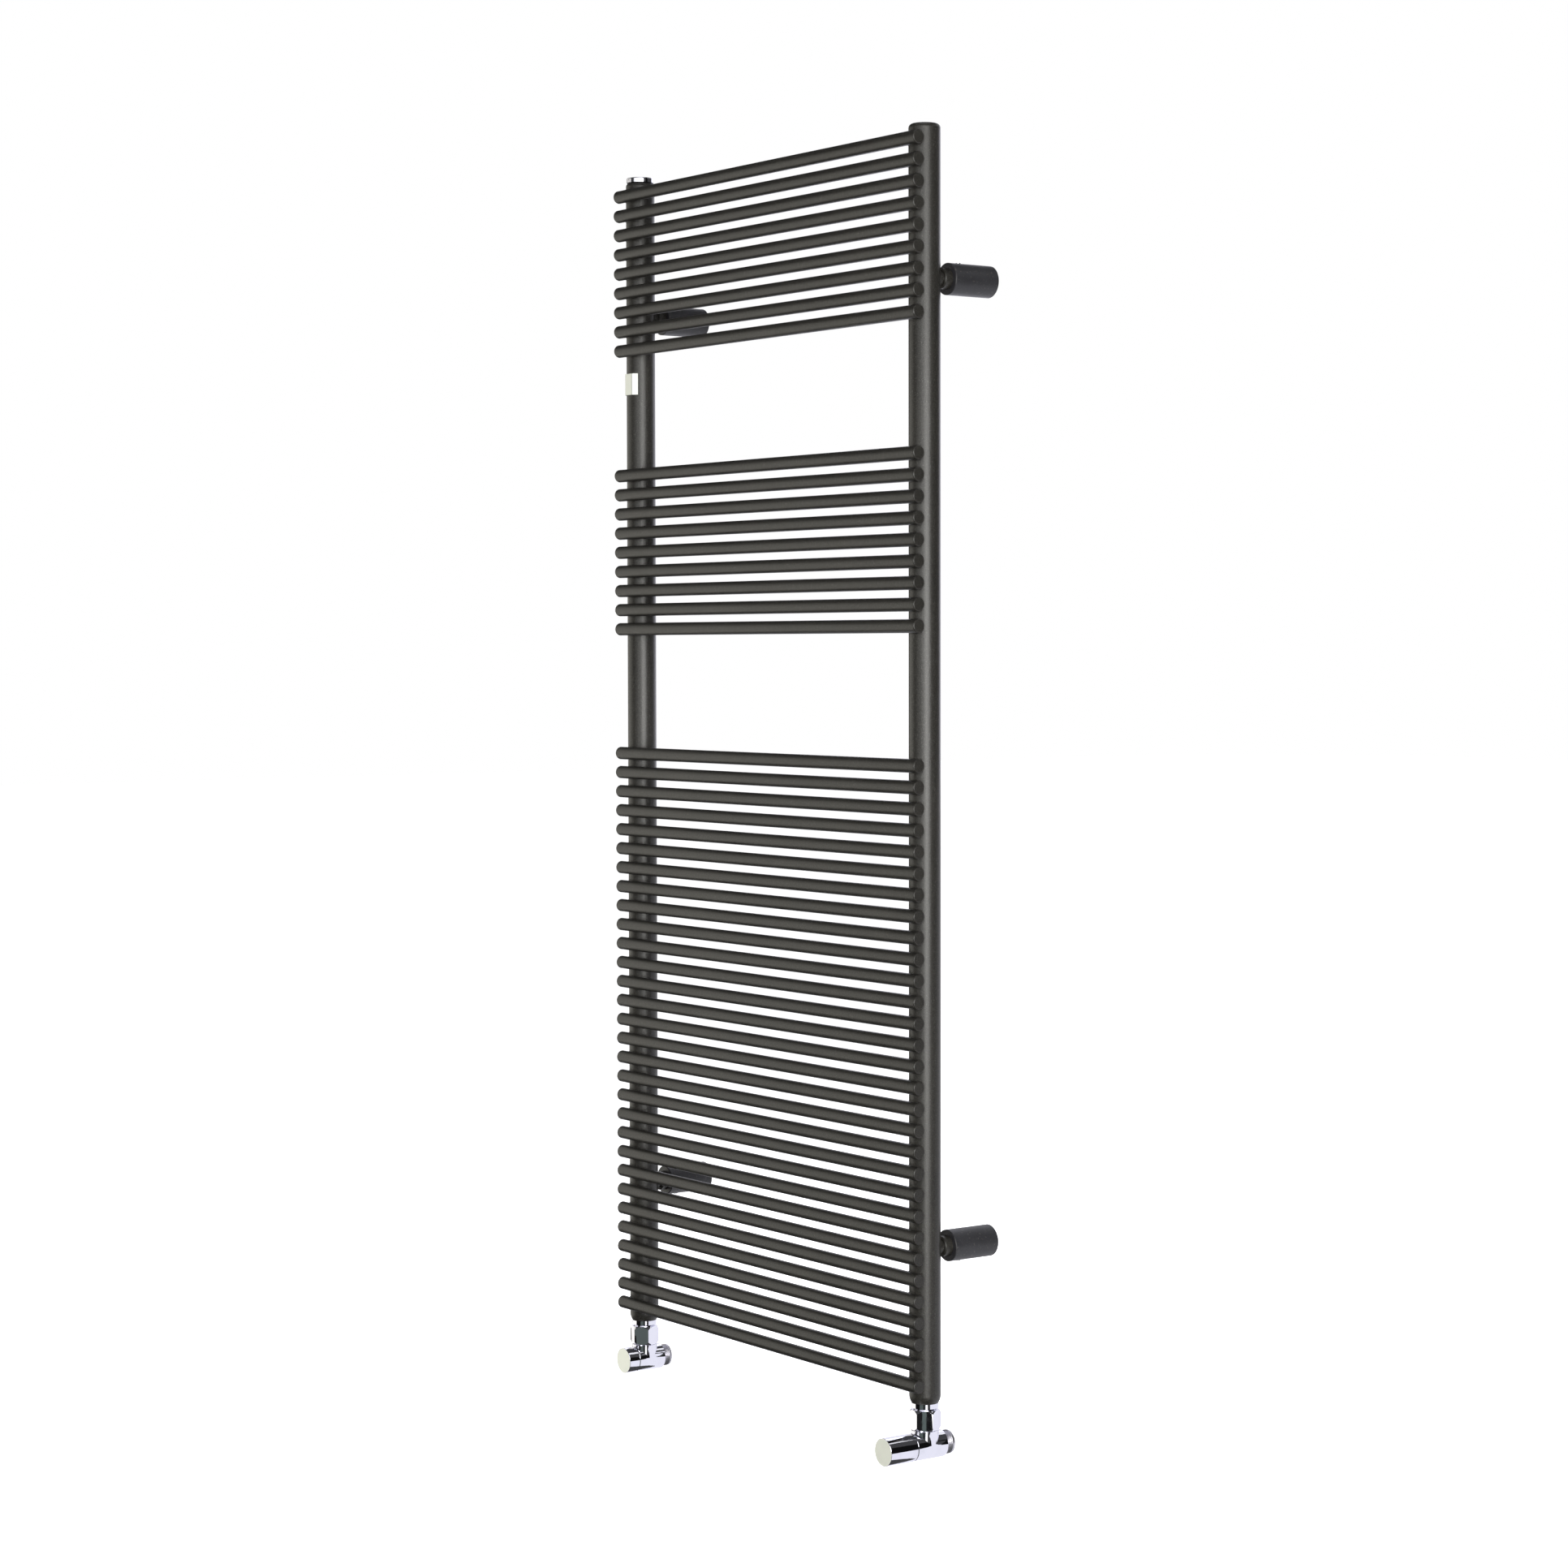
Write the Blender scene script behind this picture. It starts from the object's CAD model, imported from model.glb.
import math

import bpy
from mathutils import Matrix, Vector


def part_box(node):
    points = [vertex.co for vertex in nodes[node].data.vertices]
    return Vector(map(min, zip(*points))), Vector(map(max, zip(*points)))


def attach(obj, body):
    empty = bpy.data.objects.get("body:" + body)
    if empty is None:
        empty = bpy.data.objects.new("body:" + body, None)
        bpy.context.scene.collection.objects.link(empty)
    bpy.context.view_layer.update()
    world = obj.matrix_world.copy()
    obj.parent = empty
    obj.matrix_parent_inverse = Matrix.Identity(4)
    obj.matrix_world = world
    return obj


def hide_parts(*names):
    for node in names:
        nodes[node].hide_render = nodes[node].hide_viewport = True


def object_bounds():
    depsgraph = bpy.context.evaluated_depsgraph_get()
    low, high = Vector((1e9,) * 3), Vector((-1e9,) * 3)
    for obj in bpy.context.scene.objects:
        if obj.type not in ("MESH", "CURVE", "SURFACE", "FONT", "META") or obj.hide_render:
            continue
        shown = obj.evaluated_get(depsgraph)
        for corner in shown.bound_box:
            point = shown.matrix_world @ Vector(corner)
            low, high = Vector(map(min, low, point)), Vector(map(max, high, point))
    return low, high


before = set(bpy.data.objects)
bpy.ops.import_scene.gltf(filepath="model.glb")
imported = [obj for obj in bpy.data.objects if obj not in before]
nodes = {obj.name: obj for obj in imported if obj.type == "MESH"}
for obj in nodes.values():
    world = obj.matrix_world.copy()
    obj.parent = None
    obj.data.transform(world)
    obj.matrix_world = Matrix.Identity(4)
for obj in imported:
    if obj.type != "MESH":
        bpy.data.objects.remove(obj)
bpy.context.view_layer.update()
print("stage: frame loaded,", len(nodes), "nodes")


def selectOnly(*objects):
    bpy.ops.object.select_all(action="DESELECT")
    for obj in objects:
        obj.select_set(True)
    bpy.context.view_layer.objects.active = objects[0]


def editAll(obj):
    # leaves edit mode on, with the whole mesh selected
    selectOnly(obj)
    bpy.ops.object.mode_set(mode="EDIT")
    bpy.ops.mesh.select_all(action="SELECT")


def pickPoints(obj, wanted):
    # leaves edit mode on, with only the wanted vertices selected
    selectOnly(obj)
    bpy.ops.object.mode_set(mode="EDIT")
    bpy.ops.mesh.select_mode(type="VERT")
    bpy.ops.mesh.select_all(action="DESELECT")
    bpy.ops.object.mode_set(mode="OBJECT")
    for point in obj.data.vertices:
        point.select = wanted(point.co)
    bpy.ops.object.mode_set(mode="EDIT")


def closeEdit():
    bpy.ops.object.mode_set(mode="OBJECT")


def modify(obj, kind, **settings):
    # adds one modifier and applies it at once
    selectOnly(obj)
    modifier = obj.modifiers.new(kind.title(), kind)
    for key, value in settings.items():
        setattr(modifier, key, value)
    bpy.ops.object.modifier_apply(modifier=modifier.name)


def roundEdges(obj, look):
    # rounds the edges that turn by more than the look's sharp angle
    limit = math.radians(look["sharp"])
    modify(obj, "BEVEL", width=look["round"], segments=look["segments"], limit_method="ANGLE",
           angle_limit=limit)


def smoothOver(obj, degrees):
    selectOnly(obj)
    bpy.ops.object.shade_smooth_by_angle(angle=math.radians(degrees))


def settle(obj):
    # the finished piece's place goes into its mesh
    selectOnly(obj)
    bpy.ops.object.transform_apply(location=True, rotation=True, scale=True)


mergeDistance = 0.000002


def copyOfNode(nodeName, pieceName):
    # a free copy of a CAD node, with its loose triangles merged
    source = nodes[nodeName]
    piece = bpy.data.objects.new(pieceName, source.data.copy())
    bpy.context.scene.collection.objects.link(piece)
    selectOnly(piece)
    bpy.ops.mesh.customdata_custom_splitnormals_clear()
    editAll(piece)
    bpy.ops.mesh.remove_doubles(threshold=mergeDistance)
    closeEdit()
    return piece


def finishPiece(obj, material, body):
    obj.data.materials.clear()
    obj.data.materials.append(material)
    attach(obj, body)


class Wire:
    # one output socket; arithmetic on it adds Math nodes
    def __init__(self, sheet, socket):
        self.sheet = sheet
        self.socket = socket

    def math(self, operation, first, second):
        sockets = {0: first, 1: second}
        return self.sheet.add("ShaderNodeMath", {"operation": operation}, sockets).out()

    def __add__(self, other):
        return self.math("ADD", self, other)

    def __radd__(self, other):
        return self.math("ADD", other, self)

    def __mul__(self, other):
        return self.math("MULTIPLY", self, other)

    def __rmul__(self, other):
        return self.math("MULTIPLY", other, self)


class Added:
    # a node on a sheet, whose outputs are taken by name or number
    def __init__(self, sheet, node):
        self.sheet = sheet
        self.node = node

    def out(self, which=0):
        return Wire(self.sheet, self.node.outputs[which])


class Sheet:
    # the node tree of one material or of the world
    def __init__(self, tree):
        self.tree = tree
        tree.nodes.clear()

    def add(self, kind, settings=None, sockets=None):
        node = self.tree.nodes.new(kind)
        for key, value in (settings or {}).items():
            if key == "stops":
                self.setStops(node.color_ramp, value)
            else:
                setattr(node, key, value)
        for key, value in (sockets or {}).items():
            if isinstance(value, Wire):
                self.tree.links.new(value.socket, node.inputs[key])
            else:
                node.inputs[key].default_value = value
        return Added(self, node)

    def setStops(self, ramp, stops):
        while len(ramp.elements) > 1:
            ramp.elements.remove(ramp.elements[-1])
        ramp.elements[0].position = stops[0][0]
        ramp.elements[0].color = shade(stops[0][1])
        for place, tone in stops[1:]:
            ramp.elements.new(place).color = shade(tone)

    def place(self):
        return self.add("ShaderNodeTexCoord").out("Object")

    def noise(self, where, scale, detail=2.0, roughness=0.5):
        sockets = {"Vector": where, "Scale": scale, "Detail": detail, "Roughness": roughness}
        return self.add("ShaderNodeTexNoise", {}, sockets).out()

    def ramp(self, value, stops):
        return self.add("ShaderNodeValToRGB", {"stops": stops}, {0: value}).out()

    # a Mix node's colour sockets are its inputs 6 and 7 and its output 2
    def blend(self, factor, first, second):
        sockets = {0: factor, 6: first, 7: second}
        return self.add("ShaderNodeMix", {"data_type": "RGBA"}, sockets).out(2)

    def tint(self, first, second):
        settings = {"data_type": "RGBA", "blend_type": "MULTIPLY"}
        return self.add("ShaderNodeMix", settings, {0: 1.0, 6: first, 7: second}).out(2)

    def bump(self, height, strength, distance):
        sockets = {"Height": height, "Strength": strength, "Distance": distance}
        return self.add("ShaderNodeBump", {}, sockets).out()


def shade(tone):
    # a grey or a colour as red, green, blue and 1
    return (tone, tone, tone, 1.0) if isinstance(tone, float) else (*tone, 1.0)


def newMaterial(name):
    material = bpy.data.materials.new(name)
    material.use_nodes = True
    return material, Sheet(material.node_tree)


def closeMaterial(sheet, sockets):
    shader = sheet.add("ShaderNodeBsdfPrincipled", {}, sockets).out()
    sheet.add("ShaderNodeOutputMaterial", {}, {"Surface": shader})


def closeGlow(sheet, color, strength):
    glow = sheet.add("ShaderNodeEmission", {}, {"Color": color, "Strength": strength}).out()
    sheet.add("ShaderNodeOutputMaterial", {}, {"Surface": glow})


powderLook = {
    "dark": (0.0085, 0.0080, 0.0068),
    "light": (0.033, 0.031, 0.0265),
    "fleck": (0.20, 0.195, 0.185),
    "grainScale": 620.0,
    "fineScale": 1612.0,
    "cloudScale": 14.0,
    "fleckScale": 1150.0,
    "grainShare": 0.75,
    "cloudShare": 0.25,
    "fleckShare": 0.35,
    "toneStart": 0.30,
    "toneEnd": 0.70,
    "fleckStart": 0.61,
    "fleckEnd": 0.74,
    "grainHeight": 0.7,
    "fineHeight": 0.3,
    "smoothest": 0.30,
    "roughening": 0.16,
    "bump": 0.45,
    "bumpDepth": 0.0004,
}


def makePowderCoat():
    # fine-textured anthracite powder coat with small bright flecks
    material, sheet = newMaterial("anthracitePowderCoat")
    where = sheet.place()
    look = powderLook
    grain = sheet.noise(where, look["grainScale"], detail=3.0, roughness=0.6)
    fine = sheet.noise(where, look["fineScale"])
    cloud = sheet.noise(where, look["cloudScale"])
    spots = sheet.noise(where, look["fleckScale"], detail=1.0)
    fleck = sheet.ramp(spots, [(look["fleckStart"], 0.0), (look["fleckEnd"], 1.0)])
    mottle = grain * look["grainShare"] + cloud * look["cloudShare"]
    tone = sheet.ramp(mottle, [(look["toneStart"], look["dark"]), (look["toneEnd"], look["light"])])
    height = grain * look["grainHeight"] + fine * look["fineHeight"]
    closeMaterial(sheet, {
        "Base Color": sheet.blend(fleck * look["fleckShare"], tone, shade(look["fleck"])),
        "Roughness": grain * look["roughening"] + look["smoothest"],
        "Normal": sheet.bump(height, look["bump"], look["bumpDepth"]),
    })
    return material


bracketLook = {
    "dark": (0.016, 0.016, 0.0185),
    "light": (0.031, 0.031, 0.036),
    "speck": (0.12, 0.11, 0.10),
    "grainScale": 900.0,
    "cloudScale": 45.0,
    "speckScale": 420.0,
    "grainShare": 0.5,
    "cloudShare": 0.5,
    "speckShare": 0.5,
    "toneStart": 0.32,
    "toneEnd": 0.68,
    "speckStart": 0.70,
    "speckEnd": 0.86,
    "smoothest": 0.40,
    "roughening": 0.12,
    "bump": 0.14,
    "bumpDepth": 0.0003,
}


def makeBracketCoat():
    # smoother charcoal coat, with a few specks of dust
    material, sheet = newMaterial("charcoalBracketCoat")
    where = sheet.place()
    look = bracketLook
    grain = sheet.noise(where, look["grainScale"])
    cloud = sheet.noise(where, look["cloudScale"], detail=3.0)
    spots = sheet.noise(where, look["speckScale"], detail=0.0)
    speck = sheet.ramp(spots, [(look["speckStart"], 0.0), (look["speckEnd"], 1.0)])
    mottle = cloud * look["cloudShare"] + grain * look["grainShare"]
    tone = sheet.ramp(mottle, [(look["toneStart"], look["dark"]), (look["toneEnd"], look["light"])])
    closeMaterial(sheet, {
        "Base Color": sheet.blend(speck * look["speckShare"], tone, shade(look["speck"])),
        "Roughness": grain * look["roughening"] + look["smoothest"],
        "Normal": sheet.bump(grain, look["bump"], look["bumpDepth"]),
    })
    return material


chromeLook = {
    "color": (0.84, 0.84, 0.92),
    "haze": (0.76, 0.76, 0.84),
    "hazeScale": 60.0,
    "waveScale": 130.0,
    "hazeShare": 0.6,
    "hazeStart": 0.45,
    "hazeEnd": 0.75,
    "smoothest": 0.03,
    "roughening": 0.05,
    "bump": 0.05,
    "bumpDepth": 0.0006,
}


def makeChrome():
    # bright chrome plate, a little hazy in places and never quite flat
    material, sheet = newMaterial("polishedChrome")
    where = sheet.place()
    look = chromeLook
    haze = sheet.noise(where, look["hazeScale"], detail=3.0)
    wave = sheet.noise(where, look["waveScale"], detail=1.0)
    mask = sheet.ramp(haze, [(look["hazeStart"], 0.0), (look["hazeEnd"], 1.0)])
    closeMaterial(sheet, {
        "Base Color": sheet.blend(mask * look["hazeShare"], shade(look["color"]), shade(look["haze"])),
        "Metallic": 1.0,
        "Roughness": mask * look["roughening"] + look["smoothest"],
        "Normal": sheet.bump(wave, look["bump"], look["bumpDepth"]),
    })
    return material


threadFinish = {
    "crest": (0.66, 0.65, 0.70),
    "root": (0.46, 0.45, 0.50),
    "cloudScale": 500.0,
    "smoothest": 0.24,
    "roughening": 0.2,
    "bump": 0.15,
    "bumpDepth": 0.0001,
}


def makeCutThread():
    # bare cut thread, duller than the plate next to it
    material, sheet = newMaterial("bareCutThread")
    where = sheet.place()
    look = threadFinish
    cloud = sheet.noise(where, look["cloudScale"], detail=3.0)
    closeMaterial(sheet, {
        "Base Color": sheet.blend(cloud, shade(look["root"]), shade(look["crest"])),
        "Metallic": 1.0,
        "Roughness": cloud * look["roughening"] + look["smoothest"],
        "Normal": sheet.bump(cloud, look["bump"], look["bumpDepth"]),
    })
    return material


satinLook = {
    "color": (0.80, 0.83, 0.78),
    "shadow": (0.70, 0.73, 0.69),
    "metal": 0.85,
    "gritScale": 2200.0,
    "cloudScale": 90.0,
    "gritShare": 0.4,
    "cloudShare": 0.6,
    "smoothest": 0.26,
    "roughening": 0.16,
    "bump": 0.12,
    "bumpDepth": 0.0001,
}


def makeSatinDisc():
    # bead-blasted matt disc
    material, sheet = newMaterial("satinAluminium")
    where = sheet.place()
    look = satinLook
    grit = sheet.noise(where, look["gritScale"], roughness=0.7)
    cloud = sheet.noise(where, look["cloudScale"])
    mottle = cloud * look["cloudShare"] + grit * look["gritShare"]
    closeMaterial(sheet, {
        "Base Color": sheet.blend(mottle, shade(look["shadow"]), shade(look["color"])),
        "Metallic": look["metal"],
        "Roughness": grit * look["roughening"] + look["smoothest"],
        "Normal": sheet.bump(grit, look["bump"], look["bumpDepth"]),
    })
    return material


brassLook = {"color": (0.80, 0.60, 0.28), "worn": (0.62, 0.44, 0.20), "smoothest": 0.21}
zincLook = {"color": (0.62, 0.63, 0.64), "worn": (0.45, 0.46, 0.48), "smoothest": 0.25}
turningMarks = {
    "ringScale": 900.0,
    "cloudScale": 110.0,
    "roughening": 0.15,
    "bump": 0.08,
    "bumpDepth": 0.0001,
}


def makeTurnedMetal(name, look):
    # lathe-turned metal: faint rings along the turning axis
    material, sheet = newMaterial(name)
    where = sheet.place()
    marks = turningMarks
    sockets = {"Vector": where, "Scale": marks["ringScale"]}
    rings = sheet.add("ShaderNodeTexWave", {"bands_direction": "Y"}, sockets).out(1)
    cloud = sheet.noise(where, marks["cloudScale"], detail=3.0)
    closeMaterial(sheet, {
        "Base Color": sheet.blend(cloud, shade(look["worn"]), shade(look["color"])),
        "Metallic": 1.0,
        "Roughness": cloud * marks["roughening"] + look["smoothest"],
        "Normal": sheet.bump(rings, marks["bump"], marks["bumpDepth"]),
    })
    return material


rubberLook = {
    "dark": 0.010,
    "bloomed": 0.035,
    "bloomScale": 300.0,
    "bloomStart": 0.35,
    "bloomEnd": 0.75,
    "smoothest": 0.6,
    "roughening": 0.2,
    "bump": 0.1,
    "bumpDepth": 0.0002,
}


def makeRubber():
    # black rubber with a grey bloom
    material, sheet = newMaterial("blackSealRubber")
    where = sheet.place()
    look = rubberLook
    bloom = sheet.noise(where, look["bloomScale"], detail=3.0)
    stops = [(look["bloomStart"], look["dark"]), (look["bloomEnd"], look["bloomed"])]
    closeMaterial(sheet, {
        "Base Color": sheet.ramp(bloom, stops),
        "Roughness": bloom * look["roughening"] + look["smoothest"],
        "Normal": sheet.bump(bloom, look["bump"], look["bumpDepth"]),
    })
    return material


powderCoat = makePowderCoat()
bracketCoat = makeBracketCoat()
chrome = makeChrome()
satinDisc = makeSatinDisc()
cutThread = makeCutThread()
brass = makeTurnedMetal("turnedBrass", brassLook)
zincSteel = makeTurnedMetal("zincSteel", zincLook)
rubber = makeRubber()

finishes = {
    "powder_coat": powderCoat,
    "bracket_coat": bracketCoat,
    "chrome": chrome,
    "satin_disc": satinDisc,
    "brass": brass,
    "zinc_steel": zincSteel,
    "rubber": rubber,
}

for node in nodes.values():
    slotName = node.material_slots[0].material.name.split(".")[0]
    for materialSlot in node.material_slots:
        materialSlot.material = finishes[slotName]
nodes["badge_plate"].material_slots[0].material = satinDisc  # a bare plate on the coated collector
print("stage: finishes on all nodes")


# valve bodies, with their outlet threads cut
threadLook = {
    "length": 0.0105,
    "pitch": 0.001814,
    "depth": 0.00085,
    "radius": 0.0132,
    "runIn": 0.0008,
    "cuts": (0.06, 0.5, 0.94),  # crest, root and crest, as shares of one turn
    "skin": 0.0003,
    "slack": 0.00002,
    "smooth": 28,
}


def makeValveBody(side):
    low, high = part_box("valve_body_" + side)
    axisX = (low.x + high.x) / 2
    axisZ = low.z + (high.x - low.x) / 2
    body = copyOfNode("valve_body_" + side, "valveBodyThreaded_" + side)
    # crests and roots are cut as rings, and every root ring is drawn in
    start = high.y - threadLook["length"] + threadLook["runIn"]
    turns = int((threadLook["length"] - 2 * threadLook["runIn"]) / threadLook["pitch"])
    roots = []
    for turn in range(turns):
        base = start + turn * threadLook["pitch"]
        roots.append(base + threadLook["pitch"] / 2)
        for share in threadLook["cuts"]:
            editAll(body)
            cut = (axisX, base + share * threadLook["pitch"], axisZ)
            bpy.ops.mesh.bisect(plane_co=cut, plane_no=(0, 1, 0))
            closeEdit()

    def onRoot(point):
        reach = math.hypot(point.x - axisX, point.z - axisZ)
        near = min(abs(point.y - root) for root in roots)
        return reach > threadLook["radius"] - threadLook["skin"] and near < threadLook["slack"]

    pickPoints(body, onRoot)
    shrink = 1 - threadLook["depth"] / threadLook["radius"]
    bpy.ops.transform.resize(value=(shrink, 1, shrink), center_override=(axisX, 0, axisZ))
    closeEdit()
    smoothOver(body, threadLook["smooth"])
    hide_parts("valve_body_" + side)
    finishPiece(body, chrome, "radiator")
    body.data.materials.append(cutThread)
    for face in body.data.polygons:
        if face.center.y > high.y - threadLook["length"]:
            face.material_index = 1


for side in ("left", "right"):
    makeValveBody(side)
print("stage: valve bodies")


# union nuts, with their sharp edges rubbed down by polishing
nutLook = {"flat": 1, "sharp": 25, "round": 0.0006, "segments": 3, "smooth": 35}


def makeUnionNut(side):
    nut = copyOfNode("union_nut_" + side, "unionNutPolished_" + side)
    editAll(nut)
    bpy.ops.mesh.dissolve_limited(angle_limit=math.radians(nutLook["flat"]))
    closeEdit()
    roundEdges(nut, nutLook)
    smoothOver(nut, nutLook["smooth"])
    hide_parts("union_nut_" + side)
    finishPiece(nut, chrome, "radiator")


for side in ("left", "right"):
    makeUnionNut(side)
print("stage: union nuts")


# brazing where each rail lies in its notch
brazeLook = {
    "railPitch": 0.0235,
    "railRadius": 0.00765,
    "collectorRadius": 0.0175,
    "railReach": 0.033,
    "size": 0.0009,
    "round": 0.0005,
    "segments": 2,
    "sharp": 35,
    "smooth": 50,
    "overhang": 0.004,
    "collectorSides": 40,
    "tubeSides": 24,
}

studWeldLook = {"studRadius": 0.008, "studReach": 0.020}


def crossedBead(name, centre, axisTurn, radius, reach, offset):
    # what two slightly fat tubes share: a bead along the line where the real ones meet
    fat = brazeLook["size"]
    tall = 2 * (radius + fat) + brazeLook["overhang"]
    bpy.ops.mesh.primitive_cylinder_add(
        vertices=brazeLook["collectorSides"], radius=brazeLook["collectorRadius"] + fat, depth=tall,
        location=centre)
    bead = bpy.context.object
    bead.name = name
    bpy.ops.mesh.primitive_cylinder_add(
        vertices=brazeLook["tubeSides"], radius=radius + fat, depth=reach, location=centre + offset,
        rotation=axisTurn)
    cutter = bpy.context.object
    modify(bead, "BOOLEAN", operation="INTERSECT", object=cutter, solver="EXACT")
    bpy.data.objects.remove(cutter)
    roundEdges(bead, brazeLook)
    settle(bead)
    return bead


def joinCopies(first, shifts, name):
    # one piece of many copies, each with a mesh of its own
    made = []
    for shift in shifts:
        twin = bpy.data.objects.new(name, first.data.copy())
        twin.data.transform(Matrix.Translation(shift))
        bpy.context.scene.collection.objects.link(twin)
        made.append(twin)
    bpy.data.objects.remove(first)
    selectOnly(*made)
    bpy.ops.object.join()
    joined = bpy.context.object
    joined.name = name
    smoothOver(joined, brazeLook["smooth"])
    return joined


def railHeights():
    # the rails' axes, from the top of each bank down
    heights = []
    for bank in ("rails_top_bank", "rails_middle_bank", "rails_bottom_bank"):
        low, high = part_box(bank)
        first = high.z - brazeLook["railRadius"]
        last = low.z + brazeLook["railRadius"]
        count = round((first - last) / brazeLook["railPitch"]) + 1
        heights += [first - k * (first - last) / (count - 1) for k in range(count)]
    return heights


def collectorAxis(side):
    low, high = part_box("collector_" + side)
    return Vector(((low.x + high.x) / 2, (low.y + high.y) / 2, 0))


def makeRailBrazing(side):
    axis = collectorAxis(side)
    railLow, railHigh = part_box("rails_top_bank")
    offset = Vector((0, (railLow.y + railHigh.y) / 2 - axis.y, 0))
    sideways = (0, math.pi / 2, 0)
    bead = crossedBead(
        "railBead", axis, sideways, brazeLook["railRadius"], brazeLook["railReach"], offset)
    brazing = joinCopies(bead, [Vector((0, 0, z)) for z in railHeights()], "railBrazing_" + side)
    finishPiece(brazing, powderCoat, "radiator")


def makeStudWelds(side):
    reach = studWeldLook["studReach"]
    offset = Vector((0, reach / 2, 0))
    backward = (math.pi / 2, 0, 0)
    bead = crossedBead(
        "studBead", collectorAxis(side), backward, studWeldLook["studRadius"], reach, offset)
    heights = []
    for level in ("upper", "lower"):
        studLow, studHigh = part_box("bracket_stud_" + level + "_" + side)
        heights.append((studLow.z + studHigh.z) / 2)
    welds = joinCopies(bead, [Vector((0, 0, z)) for z in heights], "studWelds_" + side)
    finishPiece(welds, powderCoat, "radiator")


for side in ("left", "right"):
    makeRailBrazing(side)
    makeStudWelds(side)
print("stage: brazing and welds")


floorLook = {"drop": 0.18, "size": 44.0, "color": 0.90, "roughness": 0.9, "glow": 1.0}


def makeFloor():
    # a pale floor, kept out of the chrome's reflections and of the bounced light
    low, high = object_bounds()
    height = low.z - floorLook["drop"]
    bpy.ops.mesh.primitive_plane_add(size=floorLook["size"], location=(0, 0, height))
    floor = bpy.context.object
    floor.name = "paleFloor"
    material, sheet = newMaterial("paleFloorPaint")
    closeMaterial(sheet, {
        "Base Color": shade(floorLook["color"]),
        "Roughness": floorLook["roughness"],
        "Emission Color": shade(1.0),
        "Emission Strength": floorLook["glow"],
    })
    floor.data.materials.append(material)
    floor.visible_glossy = False
    floor.visible_diffuse = False


backdropLook = {"radius": 30.0, "segments": 48, "rings": 24, "glow": 1.0, "ambient": 0.06}


def makeBackdrop():
    # a white dome that only the lens sees, in a nearly dark studio
    bpy.ops.mesh.primitive_uv_sphere_add(
        segments=backdropLook["segments"], ring_count=backdropLook["rings"], radius=backdropLook["radius"])
    dome = bpy.context.object
    dome.name = "whiteBackdrop"
    material, sheet = newMaterial("whiteBackdropCloth")
    closeGlow(sheet, shade(1.0), backdropLook["glow"])
    dome.data.materials.append(material)
    dome.visible_diffuse = False
    dome.visible_glossy = False
    dome.visible_transmission = False
    dome.visible_shadow = False
    world = bpy.data.worlds.new("darkStudio")
    bpy.context.scene.world = world
    world.use_nodes = True
    sheet = Sheet(world.node_tree)
    tone = shade(backdropLook["ambient"])
    back = sheet.add("ShaderNodeBackground", {}, {"Color": tone, "Strength": 1.0}).out()
    sheet.add("ShaderNodeOutputWorld", {}, {"Surface": back})


cardCentre = Vector((0.283, -0.09, 0.0))  # the upright line that the cards stand round

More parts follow.
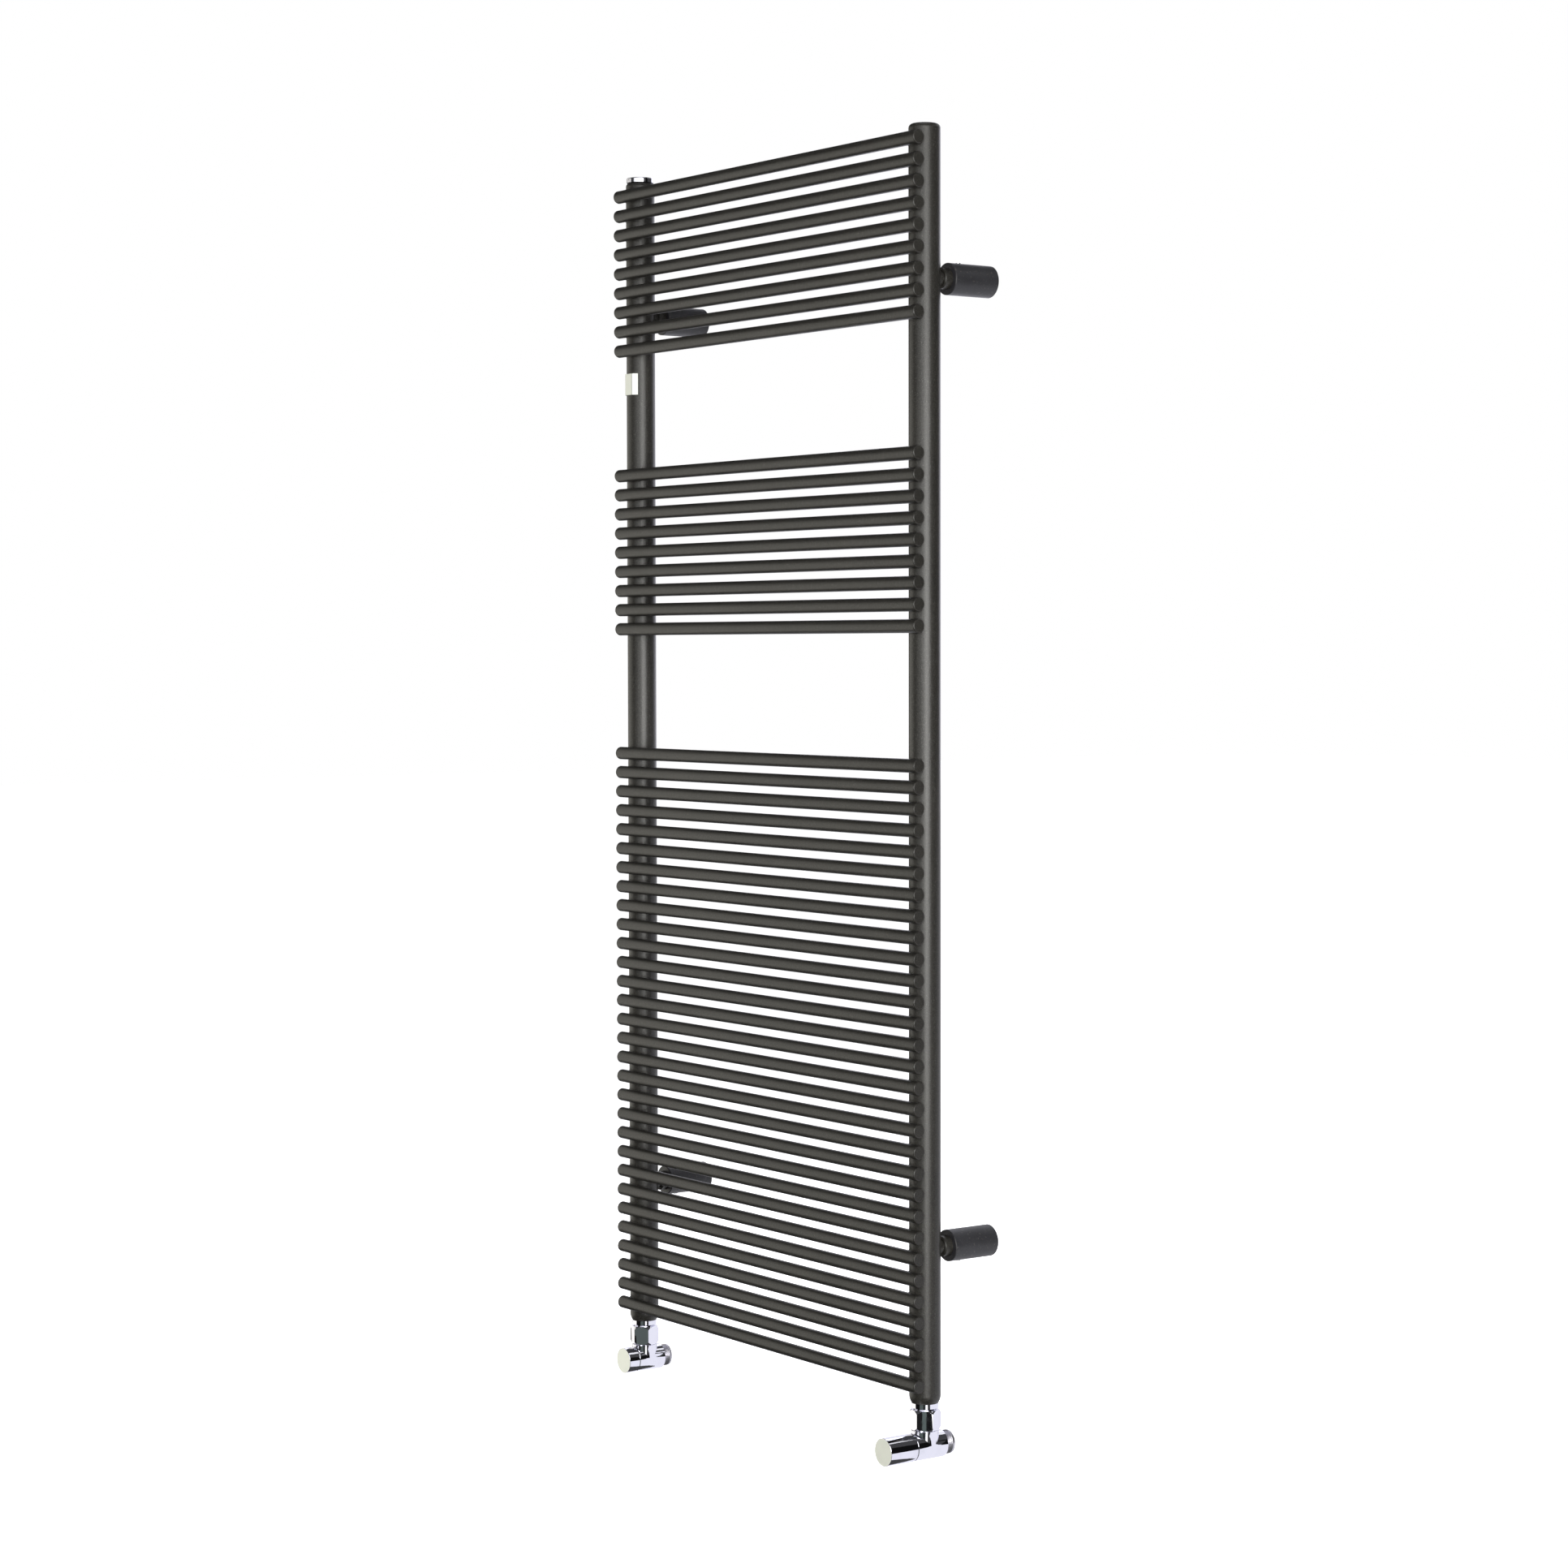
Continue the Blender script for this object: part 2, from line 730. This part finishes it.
# turn: where the card starts and ends, in degrees from -Y towards +X
# rise: the elevations of its lower and upper edges, in degrees, seen from the height called eye
# up, across: its brightness from bottom to top, or from the start of its turn to the end
# flag: it shows only in reflections and casts no shadow
cards = {
    "whiteLeft": {"turn": (-95, -36), "rise": (-28, 24), "eye": 0.0, "distance": 3.4,
                  "tone": (1.0, 0.972, 0.885), "strength": 1.25,
                  "up": [(0.0, 1.0), (0.66, 1.0), (0.86, 0.62), (1.0, 0.40)]},
    "blackLeft": {"turn": (-34, 7), "rise": (-50, -4), "eye": -0.3, "distance": 2.6,
                  "tone": 0.006, "strength": 1.0, "flag": True},
    "greyScreen": {"turn": (7, 38), "rise": (-50, -6), "eye": -0.3, "distance": 2.6,
                   "tone": (0.10, 0.12, 0.11), "strength": 1.0, "flag": True},
    "blackLens": {"turn": (38, 50), "rise": (-50, -6), "eye": -0.3, "distance": 2.7,
                  "tone": 0.015, "strength": 1.0, "flag": True},
    "greyLens": {"turn": (50, 53), "rise": (-50, -12), "eye": -0.3, "distance": 2.7,
                 "tone": (0.12, 0.15, 0.135), "strength": 1.0, "flag": True},
    "blackLensEdge": {"turn": (53, 58), "rise": (-50, -12), "eye": -0.3, "distance": 2.7,
                      "tone": 0.01, "strength": 1.0, "flag": True},
    "softShoulder": {"turn": (-8, 50), "rise": (-7, 22), "eye": 0.1, "distance": 3.9,
                     "tone": (1.0, 1.0, 0.98), "strength": 3.2, "across": [(0.0, 0.25), (1.0, 1.0)]},
    "keySoftbox": {"turn": (51, 75), "rise": (-34, 18), "eye": 0.0, "distance": 4.2,
                   "tone": (1.0, 0.99, 0.96), "strength": 14.0,
                   "up": [(0.0, 0.08), (0.34, 0.12), (0.60, 0.9), (0.70, 1.0), (1.0, 0.22)]},
    "keyWing": {"turn": (75, 86), "rise": (-16, 18), "eye": 0.0, "distance": 4.2,
                "tone": (1.0, 0.99, 0.96), "strength": 12.0,
                "up": [(0.0, 0.12), (0.36, 0.9), (0.50, 1.0), (1.0, 0.25)]},
    "darkScreen": {"turn": (78, 108), "rise": (-50, -19), "eye": -0.3, "distance": 2.6,
                   "tone": 0.05, "strength": 1.0, "flag": True},
    "blackRight": {"turn": (108, 132), "rise": (-20, 44), "eye": -0.6, "distance": 2.6,
                   "tone": 0.006, "strength": 1.0, "flag": True},
    "topStrip": {"turn": (128, 200), "rise": (46, 52), "eye": -0.75, "distance": 2.0,
                 "tone": 1.0, "strength": 1.0},
    "whiteBack": {"turn": (182, 240), "rise": (-19, 40), "eye": -0.2, "distance": 3.0,
                  "tone": (0.90, 0.90, 1.0), "strength": 2.0},
}


def hangCard(name, card):
    # a panel outside the picture, as a light or as something to reflect
    middle = math.radians(sum(card["turn"]) / 2)
    spread = math.radians(card["turn"][1] - card["turn"][0]) / 2
    distance = card["distance"] * math.cos(spread)
    width = 2 * card["distance"] * math.sin(spread)
    low = card["distance"] * math.tan(math.radians(card["rise"][0]))
    high = card["distance"] * math.tan(math.radians(card["rise"][1]))
    heading = Vector((math.sin(middle), -math.cos(middle), 0))
    centre = cardCentre + heading * distance
    centre.z = card["eye"] + (low + high) / 2
    bpy.ops.mesh.primitive_plane_add(size=1, location=centre, rotation=(math.pi / 2, 0, middle))
    panel = bpy.context.object
    panel.name = name
    panel.scale = (width, high - low, 1)
    material, sheet = newMaterial(name + "Cloth")
    color = shade(card["tone"])
    place = sheet.add("ShaderNodeSeparateXYZ", {}, {0: sheet.place()})
    # the panel's own X and Y run from -0.5 to 0.5
    if "up" in card:
        color = sheet.tint(sheet.ramp(place.out("Y") + 0.5, card["up"]), color)
    if "across" in card:
        color = sheet.tint(sheet.ramp(place.out("X") + 0.5, card["across"]), color)
    closeGlow(sheet, color, card["strength"])
    panel.data.materials.append(material)
    panel.visible_camera = False
    if "flag" in card:
        panel.visible_diffuse = False
        panel.visible_shadow = False


boardLook = {"color": (0.94, 0.94, 1.0), "glow": 1.0}

# white boards behind and below, which the chrome picks up from underneath, and a soft light overhead
boards = {
    "overheadSoftbox": {"place": (0.2, -0.2, 3.4), "size": (2.2, 2.2), "tilt": 0},
    "whiteGround": {"place": (0.6, 2.30, -1.05), "size": (4.4, 4.4), "tilt": 0},
    "whiteWall": {"place": (-0.50, 0.55, -0.56), "size": (2.04, 1.0), "tilt": 90},
    "whiteWallLow": {"place": (0.78, 0.55, -0.945), "size": (0.52, 0.21), "tilt": 90},
}


def layBoard(name, board):
    tilt = math.radians(board["tilt"])
    bpy.ops.mesh.primitive_plane_add(size=1, location=board["place"], rotation=(tilt, 0, 0))
    panel = bpy.context.object
    panel.name = name
    panel.scale = (*board["size"], 1)
    material, sheet = newMaterial(name + "Cloth")
    closeGlow(sheet, shade(boardLook["color"]), boardLook["glow"])
    panel.data.materials.append(material)
    panel.visible_camera = False


makeFloor()
makeBackdrop()
for name, board in boards.items():
    layBoard(name, board)
for name, card in cards.items():
    hangCard(name, card)
print("stage: floor, backdrop and cards")


cameraLook = {
    "place": (3.1684, -2.3397, 0.1282),
    "tilt": -2.318,
    "roll": 0.12,
    "turn": 54.468,
    "lens": 76.63,
    "sensor": 36.0,
}
cameraData = bpy.data.cameras.new("studioCamera")
cameraData.lens = cameraLook["lens"]
cameraData.sensor_width = cameraLook["sensor"]
camera = bpy.data.objects.new("studioCamera", cameraData)
camera.location = cameraLook["place"]
angles = (90 + cameraLook["tilt"], cameraLook["roll"], cameraLook["turn"])  # 90 looks level
camera.rotation_euler = [math.radians(angle) for angle in angles]
bpy.context.scene.collection.objects.link(camera)
bpy.context.scene.camera = camera
bpy.context.scene.view_settings.view_transform = "Standard"

print("stage: camera and sizes")
